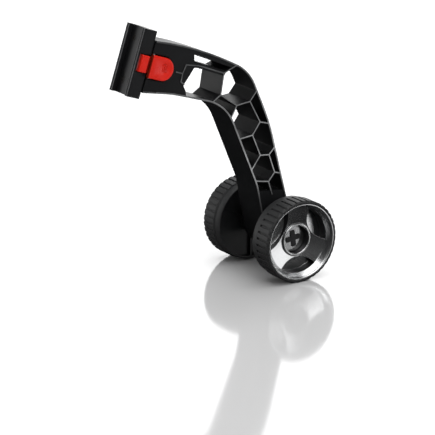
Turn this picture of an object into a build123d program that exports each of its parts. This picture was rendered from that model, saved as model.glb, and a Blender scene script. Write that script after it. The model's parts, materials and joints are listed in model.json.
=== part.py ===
from build123d import *
import os
from math import acos, atan2, cos, degrees, radians, sin

# Clip-on guide wheels for a string trimmer: a cranked honeycomb arm carries two wheels on a
# plastic axle, and ends in a channelled head that slides onto a rail on the tool's motor
# housing. A red rocker lever in the arm's side locks the head on the rail.
# Millimetres. +Z up, +Y along the axle, the head at -X, the lever on the -Y side.
# Arm outlines are given in (x, z) from the axle's centre, head details in (u, v): u is the
# depth behind the head's front face and v runs up the head, both in the XZ plane.

# wheels
WHEEL_R = 45.0
WHEEL_W = 30.0
WHEEL_GAP = 63.0
LUGS = 40
LUG_DEPTH = 1.5
LUG_GROOVE = 2.2
SHOULDER_W = 10.0
TREAD_CHAMFER = 1.4
TREAD_BORE_R = 42.4
RIM_BORE_R = 41.0
RIM_SET_IN = 1.6
WEB_IN = 6.0
WEB_OUT = 7.8
LIP_R = 41.7
DISH_R = 35.5
CUP_R = 15.2
POCKET_R = 29.7
POCKET_OFFSET = 48.8
POCKET_WALL = 1.5
POCKET_FLOOR_R = 26.0
POCKET_FLOOR_Z = 13.6
POCKET_TILT = 8.0
SPOKES = 3

# axle and what sits on it
AXLE_R = 9.0
RUN_FIT = 0.05
BUSH_R = 11.0
HUB_R = 13.0
CROSS_ARM = 5.3
CROSS_TURN = 8.0
RETAINER_R = 14.6
LOCK_PIN_R = 2.0

# arm
ARM_W = 40.0
FLANGE = 1.8
RIB = 1.4
SLOT_RIB = 5.4
FACE_RECESS = 1.0
BOSS_R = 18.0
BOSS_FACE_R = 14.0

# head
HEAD_X = -175.3
HEAD_Z = 209.5
HEAD_TILT = 18.5
HEAD_UP = 35.0
HEAD_DOWN = 36.0
HEAD_W = 35.0
HEAD_D = 15.5
HEAD_EDGE_R = 2.0
CHANNEL_W = 29.0
CHANNEL_MOUTH = 25.0
CHANNEL_D = 5.2
LIP_T = 1.8
BEAD_R = 0.7
BEAD_Y = (13.2, 16.7)
NOTCH_HALF = 9.5
NOTCH_FLOOR_W = 12.0

# latch lever, (u, v) plan and w outward from the arm's middle plane
PIVOT_U = 19.0
PIVOT_W = 15.2
PIVOT_PIN_R = 1.5
BARREL_R = 3.1
PAD_HALF = 12.0
PAD_V = -0.8
PAD_U = (14.8, 31.0)
PAD_W = (18.2, 23.0)
PAD_GAP = 1.2
TOOTH_U = (3.4, 12.5)
TOOTH_W = (13.0, 20.5)
TOOTH_HALF = 8.8
NECK_W = (13.0, 16.4)
DISH_SPHERE_R = 22.0
DISH_DEPTH = 1.1
GRIP_R = 0.7
GRIP_PITCH = 2.2
POCKET_FLOOR_W = 7.0
SPRING_U = 36.0
SPRING_R = 3.0
SPRING_WIRE_R = 0.35

# screws that hold the head on the arm: places (v, y), seat depth, head and shank
SCREW_PLACES = [(v, y) for v in (-22.0, 22.0) for y in (-6.5, 6.5)]
SCREW_HEAD_R = 3.2
SCREW_HEAD_T = 1.8
SCREW_SEAT_U = CHANNEL_D + SCREW_HEAD_T
SCREW_R = 1.75
SCREW_TIP_U = 25.3

# blind hexagonal coring of the arm's far side
CORE_R = 4.3
CORE_PITCH = 9.0
CORE_DEPTH = 21.0
CORE_START_U = 21.0

tilt = radians(HEAD_TILT)
head_reach = -(HEAD_X - BEAD_R * cos(tilt) - HEAD_DOWN * sin(tilt))
AXLE_X = (head_reach - WHEEL_R) / 2

side = Plane(origin=(AXLE_X, 0, WHEEL_R), x_dir=(1, 0, 0), z_dir=(0, -1, 0))
head = Plane(
    origin=(AXLE_X + HEAD_X, 0, WHEEL_R + HEAD_Z),
    x_dir=(cos(tilt), 0, -sin(tilt)),
    z_dir=(0, -1, 0),
)


def head_point(u, v):
    """A head point (u, v) in the arm's (x, z)."""
    return (HEAD_X + u * cos(tilt) + v * sin(tilt), HEAD_Z - u * sin(tilt) + v * cos(tilt))


def block(plane, x, y, z):
    """A box on a plane, from ranges along its three axes."""
    size = (x[1] - x[0], y[1] - y[0], z[1] - z[0])
    middle = ((x[0] + x[1]) / 2, (y[0] + y[1]) / 2, (z[0] + z[1]) / 2)
    return plane * Pos(*middle) * Box(*size)


def tangent_point(point, radius, turn):
    """Where the line from a point touches a circle about the origin, on one side."""
    reach = (point[0] ** 2 + point[1] ** 2) ** 0.5
    angle = atan2(point[1], point[0]) + turn * acos(radius / reach)
    return (radius * cos(angle), radius * sin(angle))


# ---------------------------------------------------------------- arm
INNER_START_V = -29.0
INNER_ELBOW = [(-135.0, 170.6), (-69.3, 150.3), (-30.0, 57.0)]
INNER_RADII = [120.0, 50.0, 60.0]
OUTER_START_V = 25.6
OUTER_ELBOW = [(-102.7, 216.4), (-39.6, 183.8), (-13.8, 124.9)]
OUTER_RADII = [380.0, 50.0, 220.0]
FOOT_TOP = [(-60.0, 54.5), (30.0, 42.5)]
BROW = [(-120.0, 214.0), (-58.0, 187.6), (-30.0, 240.0), (-120.0, 240.0)]
PLATE_END = [(-107.0, 260.0), (-107.0, 195.0), (-120.5, 178.0), (-117.5, 171.0), (-117.0, 140.0)]

# honeycomb corners in (x, z) from the axle's centre, from the head down to the foot
CELLS = {
    "plate_low": (-129.5, 193.5), "plate_mid": (-122.0, 191.0), "plate_top": (-117.5, 199.5),
    "plate_foot": (-124.0, 182.5), "plate_sill": (-118.5, 177.5),
    "slot_start": (-108.0, 197.6), "slot_kink": (-102.5, 196.7), "slot_end": (-71.5, 184.6),
    "slot_roof": (-54.0, 191.5), "left_wall": (-75.5, 162.0), "left_sill": (-89.0, 153.5),
    "elbow_low": (-55.5, 148.0), "elbow_sill": (-63.5, 133.5), "elbow_mid": (-39.0, 150.0),
    "elbow_out": (-29.0, 162.0), "hex_top": (-26.0, 126.0), "hex_top_out": (-12.0, 122.0),
    "hex_left": (-35.5, 113.0), "hex_left_in": (-53.0, 111.0), "hex_low": (-25.5, 89.5),
    "hex_right": (-14.3, 88.5), "hex_right_out": (-4.0, 99.0), "low_in": (-38.0, 73.0),
    "low_right": (-7.0, 68.0), "low_right_out": (3.0, 65.0), "low_mid": (-14.8, 59.0),
    "low_mid_in": (-34.0, 62.5), "low_end": (-10.0, 44.0),
}
RIBS = [
    ("plate_top", "slot_start"), ("slot_end", "slot_roof"), ("slot_end", "left_wall"),
    ("left_wall", "left_sill"), ("left_wall", "elbow_low"), ("elbow_low", "elbow_sill"),
    ("elbow_low", "elbow_mid"), ("elbow_mid", "elbow_out"), ("elbow_mid", "hex_top"),
    ("hex_top", "hex_top_out"), ("hex_top", "hex_left"), ("hex_left", "hex_left_in"),
    ("hex_left", "hex_low"),
    ("hex_low", "hex_right"), ("hex_right", "hex_right_out"), ("hex_low", "low_in"),
    ("hex_right", "low_right"), ("low_right", "low_right_out"), ("low_right", "low_mid"),
    ("low_mid", "low_mid_in"), ("low_mid", "low_end"),
]
SLOT_RIBS = [("slot_start", "slot_kink"), ("slot_kink", "slot_end")]
RELIEF = [
    ("plate_low", "plate_mid"), ("plate_mid", "plate_top"), ("plate_mid", "plate_foot"),
    ("plate_foot", "plate_sill"),
]


def rib(start, end, width):
    """A straight rib with round ends, as a flat shape."""
    (x0, z0), (x1, z1) = start, end
    length = ((x1 - x0) ** 2 + (z1 - z0) ** 2) ** 0.5
    bar = Rectangle(length, width) + Pos(-length / 2, 0) * Circle(width / 2)
    bar += Pos(length / 2, 0) * Circle(width / 2)
    return Pos((x0 + x1) / 2, (z0 + z1) / 2) * Rot(0, 0, degrees(atan2(z1 - z0, x1 - x0))) * bar


def arm_outline():
    """The arm's side view: two edges with round elbows, closed round the axle boss."""
    inner_start = head_point(HEAD_D, INNER_START_V)
    outer_start = head_point(HEAD_D, OUTER_START_V)
    inner_foot = tangent_point(INNER_ELBOW[-1], BOSS_R, 1)
    outer_foot = tangent_point(OUTER_ELBOW[-1], BOSS_R, -1)
    inner = FilletPolyline(inner_start, *INNER_ELBOW, inner_foot, radius=INNER_RADII)
    outer = FilletPolyline(outer_start, *OUTER_ELBOW, outer_foot, radius=OUTER_RADII)
    edges = Curve() + [inner, outer, Line(inner_start, outer_start), Line(inner_foot, outer_foot)]
    return make_face(edges) + Circle(BOSS_R)


def latch_pocket_plan(gap):
    """The D-shaped plan of the lever's pad, grown by a gap, on the head plane."""
    straight = PAD_U[1] - HEAD_D + gap
    plan = Pos(PAD_U[1] - straight / 2, PAD_V) * Rectangle(straight, 2 * (PAD_HALF + gap))
    return plan + Pos(PAD_U[1], PAD_V) * Circle(PAD_HALF + gap)


def head_end_band():
    """The strip of side face next to the head, between the two rims."""
    low, high = INNER_START_V + FLANGE, OUTER_START_V - FLANGE
    near, far = HEAD_D - 1.0, HEAD_D + FLANGE + 1.0
    corners = [(near, low), (far, low), (far, high), (near, high)]
    return make_face(Polyline(*[head_point(u, v) for u, v in corners], close=True))


def make_arm():
    outline = arm_outline()
    inside = offset(outline, amount=-FLANGE)
    plate = make_face(Polyline(*PLATE_END, (-220, 140), (-220, 260), close=True)) & outline
    foot = make_face(Polyline(*FOOT_TOP, (30, -30), (-60, -30), close=True)) & outline
    brow = make_face(Polyline(*BROW, close=True)) & outline
    solid_parts = plate + foot + brow
    for start, end in SLOT_RIBS:
        solid_parts += rib(CELLS[start], CELLS[end], SLOT_RIB)
    lattice = outline - inside
    for start, end in RIBS:
        lattice += rib(CELLS[start], CELLS[end], RIB)
    lattice = (lattice & outline) + solid_parts
    arm = extrude(side * lattice, ARM_W / 2, both=True)

    # recessed side faces, with the rim, the rib lands and the axle boss left standing
    recess = ((solid_parts & inside) - Circle(BOSS_FACE_R)) + head_end_band()
    for start, end in RIBS + SLOT_RIBS + RELIEF:
        recess -= rib(CELLS[start], CELLS[end], RIB)
    for face_w in (ARM_W / 2 - FACE_RECESS, -ARM_W / 2):
        arm -= extrude(side * Pos(0, 0, face_w) * recess, FACE_RECESS)

    # latch pocket, open towards the head, and the pivot pin's holes in its walls
    depth = ARM_W / 2 - POCKET_FLOOR_W
    arm -= extrude(head * Pos(0, 0, POCKET_FLOOR_W) * latch_pocket_plan(PAD_GAP), depth)
    arm -= head * Pos(PIVOT_U, 0, PIVOT_W) * Rot(90, 0, 0) * Cylinder(PIVOT_PIN_R, 36)

    # blind honeycomb coring from the far side
    for row in range(-2, 3):
        for column in range(4):
            u = CORE_START_U + CORE_PITCH * (column + (0.5 if row % 2 else 0.0))
            v = CORE_PITCH * row * sin(radians(60))
            core = Pos(u, v, -ARM_W / 2) * RegularPolygon(CORE_R, 6, rotation=30)
            arm -= extrude(head * core, CORE_DEPTH)

    arm -= side * Cylinder(AXLE_R + RUN_FIT, ARM_W + 2)
    arm -= side * Rot(90, 0, 0) * Cylinder(LOCK_PIN_R, 2 * (BOSS_R - 1.0))
    for v, y in SCREW_PLACES:
        arm -= turned_hole(HEAD_D - 1.0, SCREW_TIP_U + 0.5, v, y, SCREW_R + RUN_FIT)
    return arm


# ---------------------------------------------------------------- head
def turned_hole(start_u, end_u, v, y, radius):
    """A cylinder along the head's depth, from one u to another."""
    middle = Pos((start_u + end_u) / 2, v, y) * Rot(0, 90, 0)
    return head * middle * Cylinder(radius, end_u - start_u)


def make_head():
    length = (-HEAD_DOWN, HEAD_UP)
    body = block(head, (0, HEAD_D), length, (-HEAD_W / 2, HEAD_W / 2))
    long_edges = body.edges().filter_by(Axis(head.origin, head.y_dir))
    back_edges = [e for e in long_edges if abs(head.to_local_coords(e.center()).X - HEAD_D) < 0.01]
    body = fillet(back_edges, HEAD_EDGE_R)
    body -= block(head, (LIP_T, CHANNEL_D), length, (-CHANNEL_W / 2, CHANNEL_W / 2))
    body -= block(head, (-1, LIP_T), length, (-CHANNEL_MOUTH / 2, CHANNEL_MOUTH / 2))
    bead = Pos(0, (HEAD_UP - HEAD_DOWN) / 2, 0) * Rot(90, 0, 0) * Cylinder(BEAD_R, HEAD_UP + HEAD_DOWN)
    for bead_y in BEAD_Y:
        for sign in (-1, 1):
            body += head * Pos(0, 0, sign * bead_y) * bead
    body -= block(head, (LIP_T, HEAD_D + 1), (-NOTCH_HALF, NOTCH_HALF), (NOTCH_FLOOR_W, HEAD_W))
    for v, y in SCREW_PLACES:
        body -= turned_hole(0.0, SCREW_SEAT_U, v, y, SCREW_HEAD_R + 0.2)
        body -= turned_hole(SCREW_SEAT_U - 1.0, HEAD_D + 1.0, v, y, SCREW_R + RUN_FIT)
    return body


def make_head_screws():
    screws = []
    driver = Box(0.9, 4.0, 0.8) + Box(0.9, 0.8, 4.0)
    for v, y in SCREW_PLACES:
        screw = turned_hole(SCREW_SEAT_U - SCREW_HEAD_T, SCREW_SEAT_U, v, y, SCREW_HEAD_R)
        screw += turned_hole(SCREW_SEAT_U - 1.0, SCREW_TIP_U, v, y, SCREW_R)
        screws.append(screw - head * Pos(SCREW_SEAT_U - SCREW_HEAD_T, v, y) * driver)
    return Compound(children=screws)


# ---------------------------------------------------------------- latch
def make_latch():
    straight = PAD_U[1] - PAD_U[0]
    plan = Pos(PAD_U[0] + straight / 2, PAD_V) * Rectangle(straight, 2 * PAD_HALF)
    plan += Pos(PAD_U[1], PAD_V) * Circle(PAD_HALF)
    pad = extrude(Pos(0, 0, PAD_W[0]) * plan, PAD_W[1] - PAD_W[0])
    pad = fillet(pad.edges().filter_by(Plane.XY).group_by(Axis.Z)[-1], 1.4)
    pad -= Pos(PAD_U[1] + 1.0, 0.5, PAD_W[1] + DISH_SPHERE_R - DISH_DEPTH) * Sphere(DISH_SPHERE_R)
    for step in (-1, 0, 1):
        grip = Pos(PAD_U[1] + 1.0 + GRIP_PITCH * step, 0.5, PAD_W[1] - DISH_DEPTH) * Rot(90, 0, 0)
        pad += grip * Cylinder(GRIP_R, 8.0)
    tooth = block(Plane.XY, TOOTH_U, (-TOOTH_HALF, TOOTH_HALF), TOOTH_W)
    tooth = fillet(tooth.edges().group_by(Axis.Z)[-1], 1.2)
    neck = block(Plane.XY, (TOOTH_U[1] - 1.0, PIVOT_U), (-TOOTH_HALF, TOOTH_HALF), NECK_W)
    barrel = Pos(PIVOT_U, 0, PIVOT_W) * Rot(90, 0, 0) * Cylinder(BARREL_R, 2 * TOOTH_HALF)
    seat = Pos(SPRING_U, 0, PAD_W[0] - 0.9) * Cylinder(SPRING_R - 0.9, 2.0)
    lever = pad + tooth + neck + barrel + seat
    lever -= Pos(PIVOT_U, 0, PIVOT_W) * Rot(90, 0, 0) * Cylinder(PIVOT_PIN_R + RUN_FIT, 40)
    return head * lever


def make_pivot_pin():
    return head * Pos(PIVOT_U, 0, PIVOT_W) * Rot(90, 0, 0) * Cylinder(PIVOT_PIN_R, 34)


def make_spring():
    length = PAD_W[0] - POCKET_FLOOR_W - 2 * SPRING_WIRE_R
    path = Helix(pitch=length / 5, height=length, radius=SPRING_R)
    ring = Plane(origin=path @ 0, z_dir=path % 0) * Circle(SPRING_WIRE_R)
    coil = sweep(ring, path=path)
    return head * Pos(SPRING_U, 0, POCKET_FLOOR_W + SPRING_WIRE_R) * coil


# ---------------------------------------------------------------- axle
def cross_plan():
    """The cross that keys the retainers to the axle's ends."""
    cross = Rectangle(2 * AXLE_R, CROSS_ARM) + Rectangle(CROSS_ARM, 2 * AXLE_R)
    return cross & Circle(AXLE_R)


def make_axle():
    journal = WHEEL_GAP / 2 + 11.0
    tip = WHEEL_GAP / 2 + 14.0
    bar = Cylinder(AXLE_R, 2 * journal)
    bar += Pos(0, 0, -tip) * Rot(0, 0, CROSS_TURN) * extrude(cross_plan(), 2 * tip)
    bar -= Rot(90, 0, 0) * Cylinder(LOCK_PIN_R, 40)
    return side * bar


def make_lock_pin():
    return side * Rot(90, 0, 0) * Cylinder(LOCK_PIN_R, 2 * (BOSS_R - 1.5))


def outboard(sign):
    """Wheel plane: origin on the wheel's inboard face, z axis outboard, x along +X."""
    origin = (AXLE_X, sign * WHEEL_GAP / 2, WHEEL_R)
    return Plane(origin=origin, x_dir=(1, 0, 0), z_dir=(0, sign, 0))


def ring(points):
    """A turned ring: the (radius, width) outline turned about the wheel's axis."""
    return revolve(Plane.XZ * make_face(Polyline(*points, close=True)), Axis.Z)


def make_retainer(sign):
    disc = Pos(0, 0, 12.15) * Cylinder(RETAINER_R, 1.7)
    disc -= Rot(0, 0, -CROSS_TURN * sign) * extrude(cross_plan(), 20)
    return outboard(sign) * disc


def make_spacer(sign):
    length = WHEEL_GAP / 2 - ARM_W / 2 - 0.3
    return outboard(sign) * Pos(0, 0, -0.3 - length / 2) * (
        Cylinder(12.5, length) - Cylinder(AXLE_R + RUN_FIT, length)
    )


# ---------------------------------------------------------------- wheels
def make_tread(sign):
    lug_low = WHEEL_R - LUG_DEPTH
    tread = ring([
        (TREAD_BORE_R, 0), (lug_low - 0.6, 0), (lug_low, 1.0), (lug_low, SHOULDER_W - 1.0),
        (WHEEL_R, SHOULDER_W), (WHEEL_R, WHEEL_W - TREAD_CHAMFER),
        (WHEEL_R - TREAD_CHAMFER, WHEEL_W), (TREAD_BORE_R - 0.3, WHEEL_W), (TREAD_BORE_R - 0.3, 29),
        (TREAD_BORE_R, 28.5),
    ])
    groove = Pos(WHEEL_R, 0, SHOULDER_W + 12) * Box(2 * LUG_DEPTH, LUG_GROOVE, 24)
    return outboard(sign) * (tread - [Rot(0, 0, 360 / LUGS * i) * groove for i in range(LUGS)])


def pocket_plan(grow):
    """A lens between the dish's edge and a circle further out, grown all round."""
    return Circle(DISH_R + grow) & (Pos(POCKET_OFFSET, 0) * Circle(POCKET_R + grow))


def pocket_angles(sign):
    """Pocket centres in the wheel plane; spokes point up and to the two lower sides."""
    return [120 * i + (-30 if sign > 0 else 30) for i in range(SPOKES)]


def make_rim(sign):
    rim = ring([(RIM_BORE_R, RIM_SET_IN), (TREAD_BORE_R, RIM_SET_IN), (TREAD_BORE_R, 27), (RIM_BORE_R, 27)])
    rim += ring([
        (BUSH_R, 0.3), (HUB_R, 0.3), (HUB_R, WEB_IN), (RIM_BORE_R + 0.5, WEB_IN),
        (RIM_BORE_R + 0.5, WEB_OUT), (HUB_R, WEB_OUT), (HUB_R, 11.0), (BUSH_R, 11.0),
    ])
    for angle in pocket_angles(sign):
        stiffener = Pos((HUB_R + RIM_BORE_R) / 2, 0, WEB_IN - 1.2) * Box(RIM_BORE_R - HUB_R + 1, 1.6, 3.4)
        rim += Rot(0, 0, angle) * stiffener
    return outboard(sign) * rim


def make_wheel_face(sign):
    face = ring([
        (LIP_R, 27.2), (LIP_R, 29.6), (LIP_R - 0.4, 30), (40.2, 30), (39.7, 29.2), (39.3, 29.0),
        (DISH_R, 23.2), (18.0, 19.2), (17.6, 20.4), (17.2, 20.8), (CUP_R + 0.6, 20.8),
        (CUP_R, 20.2), (CUP_R, 11.2), (16.6, 11.2), (16.6, 17.2), (DISH_R - 0.6, 21.4),
        (38.6, 26.0), (38.6, 27.2),
    ])
    hollow = extrude(pocket_plan(0), 60)
    shell = extrude(pocket_plan(POCKET_WALL), 60)
    floor_top = Pos(POCKET_FLOOR_R, 0, POCKET_FLOOR_Z) * Rot(0, POCKET_TILT, 0)
    under = floor_top * Pos(0, 0, -POCKET_WALL - 30) * Box(80, 80, 60)
    fill = floor_top * Pos(0, 0, -30) * Box(80, 80, 60)
    ceiling = ring([(0, 0), (DISH_R + 2.2, 0), (DISH_R + 2.2, 24.0), (DISH_R - 0.3, 22.6), (0, 14.6)])
    cup = (shell - hollow + (shell & fill)) - under
    cup &= ceiling
    for angle in pocket_angles(sign):
        face -= Rot(0, 0, angle) * hollow
        face += Rot(0, 0, angle) * cup
    return outboard(sign) * face


def make_bush(sign):
    bush = Cylinder(BUSH_R, 10.7) - Cylinder(AXLE_R + RUN_FIT, 10.7)
    return outboard(sign) * Pos(0, 0, 0.3 + 5.35) * bush


nodes = {
    "arm_frame": make_arm(),
    "clip_head": make_head(),
    "head_screws": make_head_screws(),
    "latch_lever": make_latch(),
    "latch_pivot_pin": make_pivot_pin(),
    "latch_spring": make_spring(),
    "axle": make_axle(),
    "axle_lock_pin": make_lock_pin(),
}
for name, sign in (("left", 1), ("right", -1)):
    nodes["spacer_" + name] = make_spacer(sign)
    nodes["retainer_" + name] = make_retainer(sign)
    nodes["bush_" + name] = make_bush(sign)
    nodes["rim_" + name] = make_rim(sign)
    nodes["face_" + name] = make_wheel_face(sign)
    nodes["tread_" + name] = make_tread(sign)

os.makedirs("parts", exist_ok=True)
for name, solid in nodes.items():
    export_step(solid, "parts/" + name + ".step")
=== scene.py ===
import bpy
import json
import math
from mathutils import Matrix, Vector


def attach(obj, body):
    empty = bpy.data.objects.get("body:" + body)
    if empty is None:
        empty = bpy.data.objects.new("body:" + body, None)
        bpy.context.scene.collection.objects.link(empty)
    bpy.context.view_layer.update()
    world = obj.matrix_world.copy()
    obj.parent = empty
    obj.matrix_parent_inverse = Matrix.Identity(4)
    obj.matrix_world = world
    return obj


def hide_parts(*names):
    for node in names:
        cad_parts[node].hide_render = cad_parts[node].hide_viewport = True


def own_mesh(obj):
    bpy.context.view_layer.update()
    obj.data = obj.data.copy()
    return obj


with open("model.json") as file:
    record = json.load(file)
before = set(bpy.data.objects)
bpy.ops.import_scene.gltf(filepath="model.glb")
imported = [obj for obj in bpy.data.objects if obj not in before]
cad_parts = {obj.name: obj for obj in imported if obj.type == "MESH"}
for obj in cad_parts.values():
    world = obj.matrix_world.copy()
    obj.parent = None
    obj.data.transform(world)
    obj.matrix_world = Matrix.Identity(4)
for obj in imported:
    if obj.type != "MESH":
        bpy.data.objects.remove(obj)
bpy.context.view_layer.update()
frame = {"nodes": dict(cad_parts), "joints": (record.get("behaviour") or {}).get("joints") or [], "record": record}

MM = 0.001
JOINTS = {joint["name"]: joint for joint in frame["joints"]}
AXLE = Vector((JOINTS["wheel_left_spin"]["pos_m"][0], 0.0, JOINTS["wheel_left_spin"]["pos_m"][2]))
HEAD_UP = Vector(JOINTS["latch_rock"]["axis"]).normalized()
HEAD_BACK = Vector((HEAD_UP.z, 0.0, -HEAD_UP.x))


# ------------------------------------------------------------ shader helpers
class Sock:
    """An output socket that can be used in arithmetic; each operation adds its Math node."""

    def __init__(self, shader, socket):
        self.shader = shader
        self.socket = socket

    def _math(self, operation, *values):
        node = self.shader.tree.nodes.new("ShaderNodeMath")
        node.operation = operation
        for slot, value in zip(node.inputs, values):
            self.shader.feed(slot, value)
        return Sock(self.shader, node.outputs[0])

    def __add__(self, other):
        return self._math("ADD", self, other)

    def __sub__(self, other):
        return self._math("SUBTRACT", self, other)

    def __mul__(self, other):
        return self._math("MULTIPLY", self, other)

    def __rsub__(self, other):
        return self._math("SUBTRACT", other, self)

    __radd__ = __add__
    __rmul__ = __mul__

    def step(self, low, high):
        """0 below low, 1 above high, smooth between."""
        return self.shader.node(
            "ShaderNodeMapRange", {"interpolation_type": "SMOOTHSTEP"},
            Value=self, **{"From Min": low, "From Max": high})

    def absolute(self):
        return self._math("ABSOLUTE", self)


class Finish:
    """A node material with one Principled shader, built up by small methods."""

    def __init__(self, name, **inputs):
        self.material = bpy.data.materials.new(name)
        self.material.use_nodes = True
        self.tree = self.material.node_tree
        self.shader = self.tree.nodes["Principled BSDF"]
        self.set(**inputs)

    def feed(self, slot, value):
        if isinstance(value, Sock):
            self.tree.links.new(value.socket, slot)
        else:
            slot.default_value = value

    def node(self, kind, settings=None, output=0, **inputs):
        """Adds a node; an input is given by its name, or as i and its number."""
        node = self.tree.nodes.new(kind)
        for key, value in (settings or {}).items():
            setattr(node, key, value)
        for key, value in inputs.items():
            numbered = key.startswith("i") and key[1:].isdigit()
            self.feed(node.inputs[int(key[1:]) if numbered else key], value)
        return Sock(self, node.outputs[output])

    def set(self, **inputs):
        for key, value in inputs.items():
            self.feed(self.shader.inputs[key.replace("_", " ")], value)

    def place(self, centre=(0, 0, 0)):
        """Object coordinates about a centre."""
        coordinates = self.node("ShaderNodeTexCoord", output="Object")
        return self.node(
            "ShaderNodeMapping", {"vector_type": "TEXTURE"}, Vector=coordinates, Location=centre)

    def noise(self, scale, detail, roughness):
        coordinates = self.node("ShaderNodeTexCoord", output="Object")
        return self.node("ShaderNodeTexNoise", output="Fac",
                         Vector=coordinates, Scale=scale, Detail=detail, Roughness=roughness)

    def mix(self, factor, first, second):
        """A colour between two colours."""
        return self.node(
            "ShaderNodeMix", {"data_type": "RGBA"}, output=2,
            i0=factor, i6=colour(first), i7=colour(second))

    def bump(self, height, distance, strength):
        return self.node("ShaderNodeBump", output="Normal",
                         Height=height, Distance=distance, Strength=strength)


def colour(value):
    return value if isinstance(value, Sock) else (*value, 1.0)


# ------------------------------------------------------------------ finishes
# Metres: the arm's outermost faces, the heights between which their painted highlight fades, and distances
# behind the head's front face of its beads and of the valley in the lever.
LAND_Y = (0.01972, 0.0199)
LAND_FADE_Z = (0.10, 0.27)
FOOT_FADE_Z = (0.085, 0.115)
HEAD_FACE = [Vector(m["pos_m"]) for m in frame["record"]["mounts"] if m["name"] == "head_front_face"][0]
BEAD_DEPTH = (-0.0006, -0.0002)
VALLEY_DEPTH = (0.0117, 0.0125, 0.0148, 0.0156)


def grained(finish, low, high, roughness, cloud_scale=35.0, grain_scale=1800.0, grain=0.00005):
    """Base colour, roughness and fine moulded grain from two noises; returns the cloud and the colour."""
    fine = finish.noise(grain_scale, 3.0, 0.6)
    cloud = finish.noise(cloud_scale, 3.0, 0.55)
    tint = finish.mix(cloud, low, high)
    finish.set(
        Base_Color=tint,
        Roughness=cloud * (roughness[1] - roughness[0]) + roughness[0],
        Normal=finish.bump(fine, grain, 0.5),
    )
    return cloud, tint


def black_moulding():
    """Black glass-filled plastic with a fine spark-eroded grain."""
    finish = Finish("black_moulding", Specular_IOR_Level=0.35)
    grained(finish, (0.0065, 0.0068, 0.0075), (0.012, 0.0123, 0.0132), (0.32, 0.5))
    return finish.material


def arm_moulding():
    """The same black, with a painted highlight on the rib lands and rims, brightest half-way down the leg."""
    finish = Finish("arm_moulding", Specular_IOR_Level=0.17)
    cloud, tint = grained(finish, (0.0055, 0.0058, 0.0064), (0.0105, 0.0108, 0.0117), (0.34, 0.52))
    across = finish.node("ShaderNodeSeparateXYZ", output="Y", i0=finish.place())
    height = finish.node("ShaderNodeSeparateXYZ", output="Z", i0=finish.place())
    land = across.absolute().step(*LAND_Y)
    low_down = (1 - height.step(*LAND_FADE_Z)) * height.step(*FOOT_FADE_Z)
    highlight_breakup = finish.noise(90.0, 4.0, 0.6).step(0.25, 0.7)
    # Painted highlight: the outermost lands are lightened, most of all half-way down the leg, broken up by noise.
    painted_land_highlight = land * (low_down * 0.82 + 0.18) * (highlight_breakup * 0.5 + 0.5)
    finish.set(
        Base_Color=finish.mix(painted_land_highlight, tint, (0.40, 0.405, 0.41)),
        Roughness=cloud * 0.18 + 0.34 - land * 0.06,
    )
    return finish.material


def head_depth(finish):
    """Distance behind the head's front face."""
    return finish.node("ShaderNodeVectorMath", {"operation": "DOT_PRODUCT"}, output="Value",
                       i0=finish.place(HEAD_FACE), i1=HEAD_BACK)


def head_moulding():
    """The arm's black, with a painted highlight along the beads that slide on the rail's housing."""
    finish = Finish("head_moulding", Specular_IOR_Level=0.2)
    cloud, tint = grained(finish, (0.0065, 0.0068, 0.0075), (0.013, 0.0134, 0.0144), (0.3, 0.46))
    # Painted highlight: the beads standing in front of the face are lightened, broken up by noise.
    bead = 1 - head_depth(finish).step(*BEAD_DEPTH)
    highlight_breakup = finish.noise(140.0, 4.0, 0.6).step(0.2, 0.7)
    finish.set(Base_Color=finish.mix(bead * (highlight_breakup * 0.5 + 0.5), tint, (0.13, 0.132, 0.136)))
    return finish.material


def tread_rubber():
    """Hard black tyre plastic, duller and greyer than the arm."""
    finish = Finish("tread_rubber", Specular_IOR_Level=0.35)
    grained(finish, (0.015, 0.0154, 0.016), (0.032, 0.0326, 0.0334), (0.46, 0.66), 60.0, 900.0, 0.00012)
    return finish.material


def silver_paint():
    """Satin silver paint with fine flake; the backs and the steep walls inside the dish, marked dark, are black.
    """
    finish = Finish("silver_paint", Specular_IOR_Level=0.3)
    flake = finish.noise(2600.0, 1.0, 0.5)
    cloud = finish.noise(40.0, 3.0, 0.5)
    darkness = finish.node("ShaderNodeAttribute", {"attribute_name": "unpainted"}, output="Fac")
    silver = finish.mix(flake.step(0.35, 0.7), (0.54, 0.545, 0.55), (0.68, 0.685, 0.69))
    finish.set(
        Base_Color=finish.mix(darkness, silver, (0.008, 0.0083, 0.009)),
        Metallic=1 - darkness,
        Roughness=cloud * 0.08 + 0.22 + darkness * 0.2,
        Normal=finish.bump(flake, 0.00002, 0.3),
    )
    return finish.material


def red_moulding():
    """Semi-gloss red, with painted shade in the valley between the tooth and the thumb pad."""
    finish = Finish("red_moulding", Specular_IOR_Level=0.3)
    cloud, tint = grained(
        finish, (0.60, 0.012, 0.006), (0.72, 0.02, 0.009), (0.24, 0.34), 60.0, 1500.0, 0.00003)
    depth = head_depth(finish)
    # Painted shade: the valley between tooth and pad is darkened.
    valley = depth.step(*VALLEY_DEPTH[:2]) * (1 - depth.step(*VALLEY_DEPTH[2:]))
    finish.set(Base_Color=finish.mix(valley * (cloud * 0.3 + 0.7), tint, (0.09, 0.012, 0.003)))
    return finish.material


def plated_steel():
    """Zinc plate with a fine grain."""
    finish = Finish("plated_steel", Metallic=1.0)
    grained(finish, (0.30, 0.30, 0.31), (0.5, 0.495, 0.49), (0.28, 0.45), 300.0, 900.0, 0.00003)
    return finish.material


def black_steel():
    """Blackened screws, browner in patches."""
    finish = Finish("black_steel", Metallic=0.6)
    grained(finish, (0.012, 0.0115, 0.011), (0.03, 0.027, 0.024), (0.4, 0.6), 400.0, 1500.0, 0.00002)
    return finish.material


def acetal():
    """Natural acetal, slightly waxy."""
    finish = Finish("acetal")
    grained(finish, (0.50, 0.48, 0.43), (0.62, 0.60, 0.55), (0.35, 0.45), 80.0, 900.0, 0.00003)
    return finish.material


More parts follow.
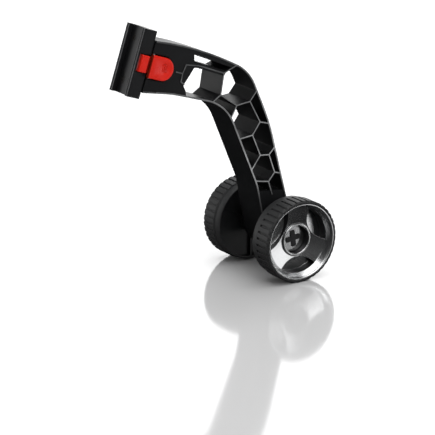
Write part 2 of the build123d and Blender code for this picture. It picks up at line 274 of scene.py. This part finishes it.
FINISHES = {
    "black_plastic": black_moulding(),
    "tread_rubber": tread_rubber(),
    "silver_paint": silver_paint(),
    "red_plastic": red_moulding(),
    "steel": plated_steel(),
    "acetal": acetal(),
}
ARM_FINISH = arm_moulding()
HEAD_FINISH = head_moulding()
SLOTS = {part["node"]: part["material_slot"] for part in frame["record"]["subparts"]}
BODY_OF = {node: body for body, nodes in frame["record"]["behaviour"]["bodies"].items() for node in nodes}

for node_name, slot_name in SLOTS.items():
    node = frame["nodes"][node_name]
    node.data.materials.clear()
    node.data.materials.append(FINISHES[slot_name])
frame["nodes"]["head_screws"].data.materials[0] = black_steel()


# ------------------------------------------------------------ mesh helpers
MERGE_DISTANCE = 2e-6
FLAT_ANGLE = math.radians(0.05)
SHARP_ANGLE = math.radians(32.0)


def only(piece):
    """Selects one piece alone and makes it active."""
    bpy.ops.object.select_all(action="DESELECT")
    piece.select_set(True)
    bpy.context.view_layer.objects.active = piece


def merged_copy(node_name, piece_name):
    """A copy of a CAD node's mesh, its doubles merged and its flat faces laid out afresh."""
    mesh = frame["nodes"][node_name].data.copy()
    mesh.name = piece_name
    piece = bpy.data.objects.new(piece_name, mesh)
    bpy.context.collection.objects.link(piece)
    only(piece)
    if mesh.has_custom_normals:
        bpy.ops.mesh.customdata_custom_splitnormals_clear()
    bpy.ops.object.mode_set(mode="EDIT")
    bpy.ops.mesh.select_all(action="SELECT")
    bpy.ops.mesh.remove_doubles(threshold=MERGE_DISTANCE)
    bpy.ops.mesh.dissolve_limited(angle_limit=FLAT_ANGLE)
    bpy.ops.mesh.quads_convert_to_tris(quad_method="BEAUTY", ngon_method="BEAUTY")
    bpy.ops.object.mode_set(mode="OBJECT")
    return piece


def soften_edges(piece, width, segments):
    """Rounds every sharp edge, and keeps the flats flat."""
    only(piece)
    bpy.ops.object.shade_smooth()
    edge = piece.modifiers.new("soft_edges", "BEVEL")
    edge.width = width
    edge.segments = segments
    edge.limit_method = "ANGLE"
    edge.angle_limit = SHARP_ANGLE
    edge.use_clamp_overlap = False
    edge.loop_slide = False
    edge.harden_normals = True
    edge.miter_outer = "MITER_ARC"
    bpy.ops.object.modifier_apply(modifier=edge.name)


def stand_in(piece, node_name, finish=None):
    """Gives a piece its finish and puts it in a CAD node's place, riding where the node does."""
    piece.data.materials.clear()
    piece.data.materials.append(finish or FINISHES[SLOTS[node_name]])
    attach(piece, BODY_OF[node_name])
    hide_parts(node_name)


def dressed(node_name, width, finish=None, segments=2):
    """A softened stand-in for a CAD node."""
    piece = merged_copy(node_name, node_name + "_moulded")
    soften_edges(piece, width, segments)
    stand_in(piece, node_name, finish)
    return piece


DARK_WALL_R = 37.0 * MM
STEEP_NORMAL = 0.4
INBOARD_NORMAL = 0.2


def mark_unpainted(piece, outboard):
    """Marks as black the steep walls inside the dish, and all that faces inboard, which is plastic left without
    paint.
    """
    mesh = piece.data
    marks = mesh.attributes.new("unpainted", "FLOAT", "FACE")
    for face in mesh.polygons:
        away = (face.center - AXLE) * Vector((1, 0, 1))
        steep = abs(face.normal.y) < STEEP_NORMAL and away.length < DARK_WALL_R
        inboard = face.normal.y * outboard < -INBOARD_NORMAL
        marks.data[face.index].value = 1.0 if steep or inboard else 0.0


ARM_EDGE = 0.3 * MM
HEAD_EDGE = 0.25 * MM
LEVER_EDGE = 0.35 * MM
TREAD_EDGE = 0.35 * MM
WHEEL_EDGE = 0.3 * MM

dressed("arm_frame", ARM_EDGE, ARM_FINISH)
dressed("clip_head", HEAD_EDGE, HEAD_FINISH)
dressed("latch_lever", LEVER_EDGE, segments=3)
for side_name, outboard in (("left", 1), ("right", -1)):
    dressed("tread_" + side_name, TREAD_EDGE)
    mark_unpainted(dressed("face_" + side_name, WHEEL_EDGE), outboard)
    dressed("retainer_" + side_name, WHEEL_EDGE)


spring = merged_copy("latch_spring", "latch_spring_wound")
only(spring)
bpy.ops.object.shade_smooth()
stand_in(spring, "latch_spring")
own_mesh(spring)


# ------------------------------------------------------------ floor and light
FLOOR_SIZE = 6.0
MIDDLE_HEIGHT = 0.13
SKY_GLOW = 0.025
SKY_SEEN = 0.8
# name, size, power, azimuth, elevation, distance
LIGHTS = [
    ("top", 3.0, 80.0, 0, 88, 2.6),
    ("front", 1.5, 26.0, -4, 30, 2.4),
    ("right", 1.35, 9.0, 56, -4, 2.0),
    ("left", 1.5, 15.0, -143, 5, 2.0),
    ("behind", 2.2, 34.0, 146, 14, 2.6),
]


def pale_floor():
    finish = Finish("pale_floor", Roughness=0.09, IOR=2.1)
    haze = finish.noise(3.0, 2.0, 0.5)
    finish.set(Base_Color=finish.mix(haze, (0.68, 0.68, 0.682), (0.70, 0.70, 0.702)))
    bpy.ops.object.select_all(action="DESELECT")
    bpy.ops.mesh.primitive_plane_add(size=FLOOR_SIZE, location=(0, 0, 0))
    floor = bpy.context.object
    floor.name = "floor"
    floor.data.materials.append(finish.material)
    floor.visible_glossy = False


def direction(azimuth, elevation):
    """Towards a place seen from the object: azimuth 0 is at -Y and turns to +X."""
    a, e = math.radians(azimuth), math.radians(elevation)
    return Vector((math.sin(a) * math.cos(e), -math.cos(a) * math.cos(e), math.sin(e)))


def soft_light(name, size, power, azimuth, elevation, distance):
    """A square area light aimed at the object's middle."""
    back = direction(azimuth, elevation)
    data = bpy.data.lights.new(name, "AREA")
    data.shape = "SQUARE"
    data.size = size
    data.energy = power
    light = bpy.data.objects.new(name, data)
    bpy.context.collection.objects.link(light)
    light.location = back * distance + Vector((0, 0, MIDDLE_HEIGHT))
    light.rotation_mode = "QUATERNION"
    light.rotation_quaternion = back.to_track_quat("Z", "Y")
    light.visible_camera = False


def sky():
    """A dim sky that is brighter where the camera sees it directly."""
    world = bpy.data.worlds.new("studio")
    bpy.context.scene.world = world
    world.use_nodes = True
    tree = world.node_tree
    background = tree.nodes["Background"]
    background.inputs["Color"].default_value = (0.97, 0.98, 1.0, 1.0)
    rays = tree.nodes.new("ShaderNodeLightPath")
    strength = tree.nodes.new("ShaderNodeMath")
    strength.operation = "MULTIPLY_ADD"
    strength.inputs[1].default_value = SKY_SEEN
    strength.inputs[2].default_value = SKY_GLOW
    tree.links.new(rays.outputs["Is Camera Ray"], strength.inputs[0])
    tree.links.new(strength.outputs[0], background.inputs["Strength"])


# The camera stands on the head's side, a little above, with a long lens.
CAMERA_AZIMUTH = -33.3
CAMERA_ELEVATION = 17.4
CAMERA_DISTANCE = 2.4385
CAMERA_LENS = 187.0
AIM_LEFT = 0.0556
AIM_UP = 0.0107


def camera():
    back = direction(CAMERA_AZIMUTH, CAMERA_ELEVATION)
    right = Vector((0, 0, 1)).cross(back).normalized()
    up = back.cross(right)
    data = bpy.data.cameras.new("camera")
    data.lens = CAMERA_LENS
    view = bpy.data.objects.new("camera", data)
    bpy.context.collection.objects.link(view)
    view.location = AXLE - right * AIM_LEFT + up * AIM_UP + back * CAMERA_DISTANCE
    view.rotation_mode = "QUATERNION"
    view.rotation_quaternion = Matrix((right, up, back)).transposed().to_quaternion()
    bpy.context.scene.camera = view


camera()
pale_floor()
sky()
for light in LIGHTS:
    soft_light(*light)
bpy.context.scene.view_settings.view_transform = "Standard"
